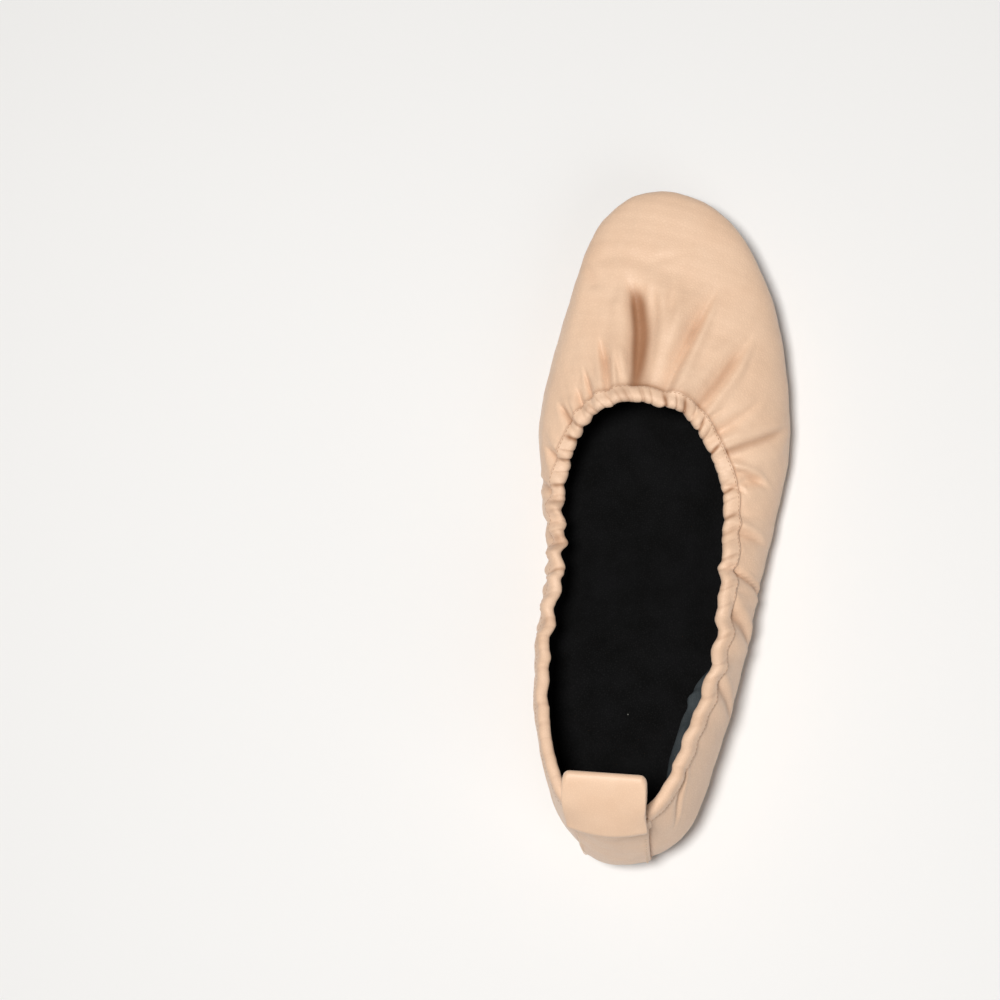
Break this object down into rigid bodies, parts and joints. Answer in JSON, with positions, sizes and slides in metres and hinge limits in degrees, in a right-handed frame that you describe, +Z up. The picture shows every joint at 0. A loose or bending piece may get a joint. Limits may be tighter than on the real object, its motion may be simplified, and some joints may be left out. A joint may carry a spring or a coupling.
{
  "type": "ballet slipper",
  "caption": "Right-foot ballet flat: gathered nude leather upper with an elastic topline, black sock, thin leather sole, low heel lift and a hinged leather pull loop.",
  "frame": {"origin": "on the ground plane, under the middle of the shoe's bounding box", "axes": "+X to the outer (lateral) side of the right foot, +Y from heel to toe, +Z up"},
  "size_m": [0.0928, 0.2492, 0.0792],
  "materials": {
    "nappa": "soft nude-beige nappa, fine pebbled grain, satin",
    "nappa_band": "the same nappa, folded and gathered over elastic",
    "nappa_strap": "the same nappa, turned and pressed flat, smoother",
    "lining_suede": "grey-black suede-like lining, matt",
    "lining_textile": "black cotton lining, matt",
    "sock_leather": "smooth black sock leather",
    "sock_foam": "thin open-cell foam",
    "stiffener": "thin impregnated canvas",
    "insole_fibre": "pressed cellulose board",
    "cork": "cork sheet",
    "shank_steel": "spring steel strip",
    "elastic": "covered elastic",
    "sole_leather": "brown sole leather with a burnished edge",
    "lift_leather": "dark brown fibrous stacked leather",
    "lift_rubber": "smooth tan rubber",
    "nail_brass": "plain brass"
  },
  "bodies": {
    "slipper": {"upper": "nappa", "topline_binding": "nappa_band", "elastic_cord": "elastic", "backstay": "nappa_strap", "vamp_lining": "lining_textile", "quarter_lining": "lining_suede", "toe_puff": "stiffener", "heel_counter": "stiffener", "insole_board": "insole_fibre", "bottom_filler": "cork", "shank": "shank_steel", "sock_foam": "sock_foam", "sock_lining": "sock_leather", "outsole": "sole_leather", "heel_lift_leather": "lift_leather", "heel_lift_rubber": "lift_rubber", "heel_nail_1": "nail_brass", "heel_nail_2": "nail_brass", "heel_nail_3": "nail_brass", "heel_nail_4": "nail_brass", "heel_nail_5": "nail_brass"},
    "loop": {"pull_loop": "nappa_strap"}
  },
  "joints": [
    {"name": "loop_bend", "type": "hinge", "parent": "slipper", "child": "loop", "pos_m": [-0.0068, -0.1114, 0.0662], "axis": [1, 0, 0], "range_deg": [-20, 90], "stiffness_Nm_per_rad": 0.01}
  ]
}
